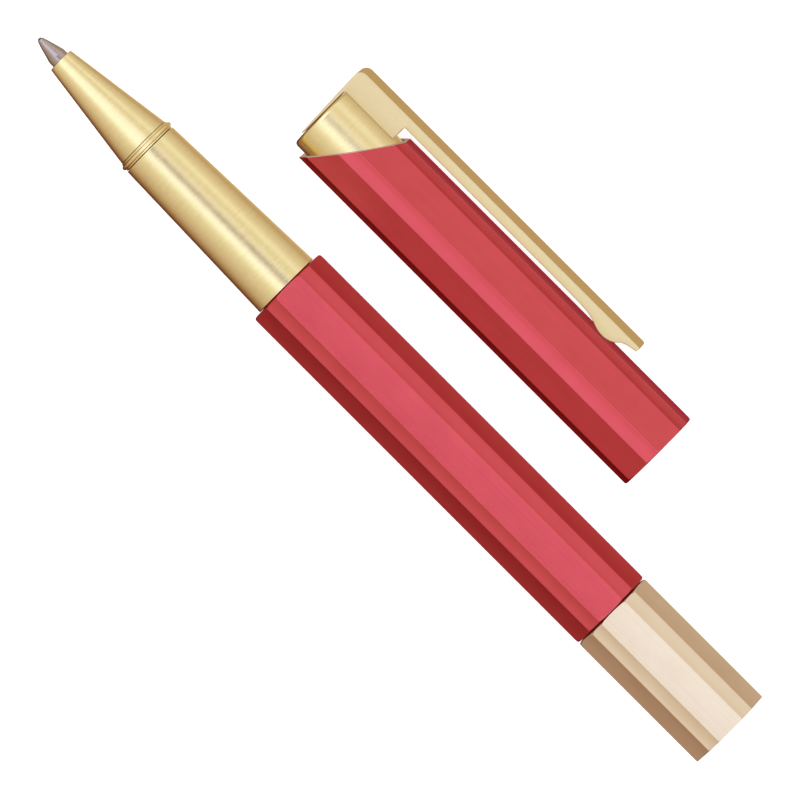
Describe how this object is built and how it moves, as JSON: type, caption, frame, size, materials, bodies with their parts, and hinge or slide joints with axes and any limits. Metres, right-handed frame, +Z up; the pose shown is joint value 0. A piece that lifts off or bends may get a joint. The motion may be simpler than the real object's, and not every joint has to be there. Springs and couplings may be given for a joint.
{
  "type": "rollerball pen",
  "caption": "Twelve-sided metal rollerball pen lying beside its cap: brass screw-off section, refill, tail piece, and a slant-topped cap with finial and sprung clip.",
  "frame": {"origin": "on the surface that the pen and its cap lie on, under the middle of the box round both", "axes": "+X along the pen from the writing tip to the tail, +Y across from the pen towards the cap and its clip, +Z up from the surface"},
  "size_m": [0.127, 0.0338, 0.0122],
  "materials": {
    "red_anodised": "satin red anodised",
    "champagne_anodised": "satin champagne gold anodised",
    "brushed_brass": "fine brushed round the axis",
    "clip_brass": "satin",
    "inner_brass": "turned, as machined",
    "steel": "turned",
    "spring_steel": "drawn wire",
    "carbide": "ground",
    "black_rubber": "matt",
    "black_plastic": "moulded",
    "refill_plastic": "extruded tube",
    "inked_fibre": "fibre soaked with ink"
  },
  "bodies": {
    "barrel": {"barrel": "red_anodised", "barrel_front_bush": "inner_brass", "tail_connector": "inner_brass", "tail_washer": "black_rubber", "tail_piece": "champagne_anodised", "spring_cup": "black_plastic", "refill_spring": "spring_steel"},
    "thread": {"section_seal": "black_rubber"},
    "section": {"nose_cone": "brushed_brass", "catch_ring": "brushed_brass", "grip_sleeve": "brushed_brass", "section_core": "inner_brass"},
    "refill": {"refill_tip": "steel", "refill_holder": "black_plastic", "refill_tube": "refill_plastic", "refill_feed_rod": "inked_fibre", "refill_ink_filler": "inked_fibre", "refill_plug": "black_plastic"},
    "ball": {"refill_ball": "carbide"},
    "cap": {"cap_shell": "red_anodised", "inner_cap": "black_plastic", "cap_snap_ring": "spring_steel", "tip_seal": "black_rubber", "cap_finial": "brushed_brass", "clip_screw_upper": "steel", "clip_screw_lower": "steel", "clip_head": "clip_brass"},
    "clip": {"clip_arm": "clip_brass"}
  },
  "joints": [
    {"name": "section_travel", "type": "slide", "parent": "barrel", "child": "thread", "axis": [-1, 0, 0], "range_m": [0, 0.006]},
    {"name": "section_turn", "type": "hinge", "parent": "thread", "child": "section", "pos_m": [0, -0.01088, 0.00571], "axis": [-1, 0, 0], "range_deg": [0, 1800]},
    {"name": "refill_push", "type": "slide", "parent": "section", "child": "refill", "axis": [1, 0, 0], "range_m": [0, 0.0012], "stiffness_N_per_m": 150, "springref_m": -0.004, "deforming": ["refill_spring"]},
    {"name": "ball_roll", "type": "hinge", "parent": "refill", "child": "ball", "pos_m": [-0.0631, -0.01088, 0.00571], "axis": [0, 1, 0], "continuous": true},
    {"name": "cap_pull", "type": "slide", "parent": "barrel", "child": "cap", "axis": [-1, 0, 0], "range_m": [0, 0.095]},
    {"name": "clip_flex", "type": "hinge", "parent": "cap", "child": "clip", "pos_m": [-0.02103, 0.01565, 0.00755], "axis": [0, -0.1899, 0.9818], "range_deg": [0, 3], "stiffness_Nm_per_rad": 0.5}
  ],
  "couplings": [
    {"joint": "section_turn", "follows": "section_travel", "rad_per_m": 5236}
  ]
}
